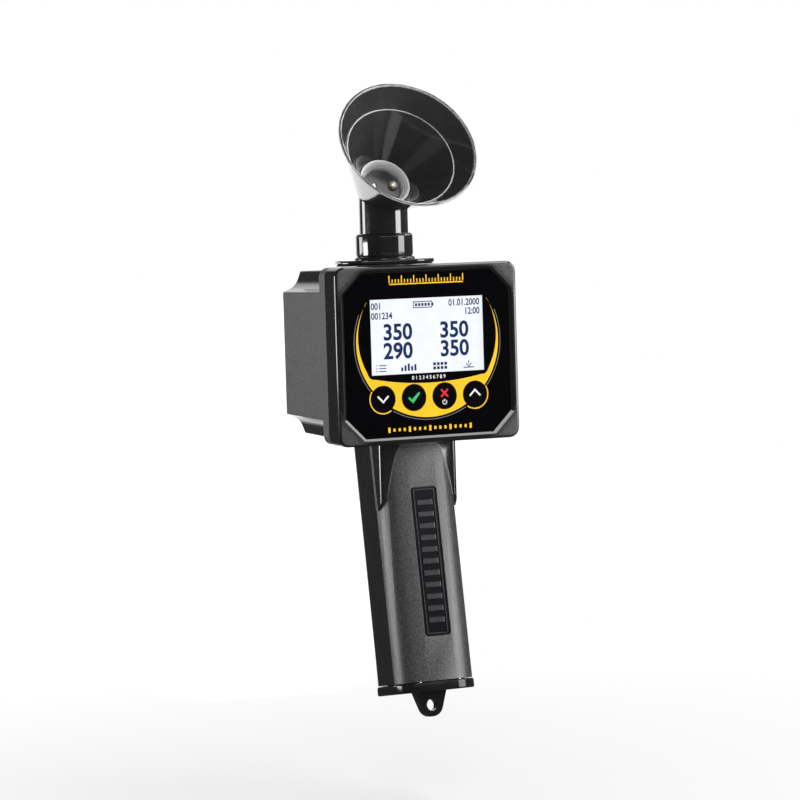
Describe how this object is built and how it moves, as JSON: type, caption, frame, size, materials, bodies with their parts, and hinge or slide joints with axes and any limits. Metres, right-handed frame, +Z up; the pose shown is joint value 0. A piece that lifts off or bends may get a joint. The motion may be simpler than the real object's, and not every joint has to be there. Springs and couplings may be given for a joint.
{
  "type": "mastitis detector",
  "caption": "Hand-held milk conductivity meter: tilted milking cup with electrodes on a neck, deep instrument box with display and keys, leaning handle with battery cap.",
  "frame": {"origin": "middle of the grip, on its axis, where the hand closes round it", "axes": "+Z up through the grip towards the cup, -Y the way the display faces, +X to the right as the display is read"},
  "size_m": [0.0826, 0.0654, 0.2647],
  "materials": {
    "cover_plastic": "satin black moulded ABS",
    "film": "glossy black film with a yellow band",
    "key_film": "glossy black with a plain sign",
    "window": "clear window",
    "display": "white display with dark numbers",
    "light_guide": "milky light guide",
    "circuit": "printed plastic circuit",
    "board": "green circuit board",
    "chip": "black moulding",
    "socket": "natural nylon",
    "steel": "zinc-plated steel",
    "electrode_metal": "gold-plated, polished",
    "housing_plastic": "fine-grained dark grey ABS",
    "gloss_black": "polished black",
    "chamber_plastic": "polished grey-black",
    "rubber": "black rubber",
    "nylon": "black nylon",
    "grip_plastic": "grained black front, smooth sides",
    "label": "bare dark plate",
    "battery_case": "printed steel jacket",
    "foam": "closed-cell foam",
    "lead_red": "red insulation",
    "lead_black": "black insulation"
  },
  "bodies": {
    "detector": {"front_cover": "cover_plastic", "front_film": "film", "keypad_circuit": "circuit", "keypad_tail": "circuit", "display_window": "window", "display_glass": "display", "display_light_guide": "light_guide", "display_frame": "steel", "main_board": "board", "processor_chip": "chip", "beeper": "chip", "battery_connector": "socket", "electrode_connector": "socket", "keypad_connector": "socket", "rear_housing": "housing_plastic", "housing_seal": "rubber", "cup_socket": "gloss_black", "socket_gasket": "rubber", "measuring_cup": "gloss_black", "neck_seal_ring": "rubber", "neck_lock_nut": "nylon", "chamber_base": "chamber_plastic", "electrode_left": "electrode_metal", "electrode_right": "electrode_metal", "electrode_nut_left": "steel", "electrode_nut_right": "steel", "electrode_lead_left": "lead_black", "electrode_lead_right": "lead_red", "handle": "grip_plastic", "grip_label": "label", "handle_screw_left": "steel", "handle_screw_right": "steel", "battery": "battery_case", "battery_snap": "lead_black", "battery_lead_black": "lead_black", "battery_lead_red": "lead_red", "battery_foam": "foam", "snap_dome_down": "steel", "snap_dome_ok": "steel", "snap_dome_esc": "steel", "snap_dome_up": "steel", "board_screw_1": "steel", "housing_screw_1": "steel", "board_screw_2": "steel", "housing_screw_2": "steel", "board_screw_3": "steel", "housing_screw_3": "steel", "board_screw_4": "steel", "housing_screw_4": "steel"},
    "key_down": {"key_down": "key_film"},
    "key_ok": {"key_ok": "key_film"},
    "key_esc": {"key_esc": "key_film"},
    "key_up": {"key_up": "key_film"},
    "battery_cap": {"battery_cap": "gloss_black", "cap_seal": "rubber", "cap_screw_left": "steel", "cap_screw_right": "steel"}
  },
  "joints": [
    {"name": "key_down_press", "type": "slide", "parent": "detector", "child": "key_down", "axis": [0, 1, 0], "range_m": [0, 0.0005], "stiffness_N_per_m": 3000},
    {"name": "key_ok_press", "type": "slide", "parent": "detector", "child": "key_ok", "axis": [0, 1, 0], "range_m": [0, 0.0005], "stiffness_N_per_m": 3000},
    {"name": "key_esc_press", "type": "slide", "parent": "detector", "child": "key_esc", "axis": [0, 1, 0], "range_m": [0, 0.0005], "stiffness_N_per_m": 3000},
    {"name": "key_up_press", "type": "slide", "parent": "detector", "child": "key_up", "axis": [0, 1, 0], "range_m": [0, 0.0005], "stiffness_N_per_m": 3000},
    {"name": "battery_cap_pull", "type": "slide", "parent": "detector", "child": "battery_cap", "axis": [0, -0.1736, -0.9848], "range_m": [0, 0.03]}
  ]
}
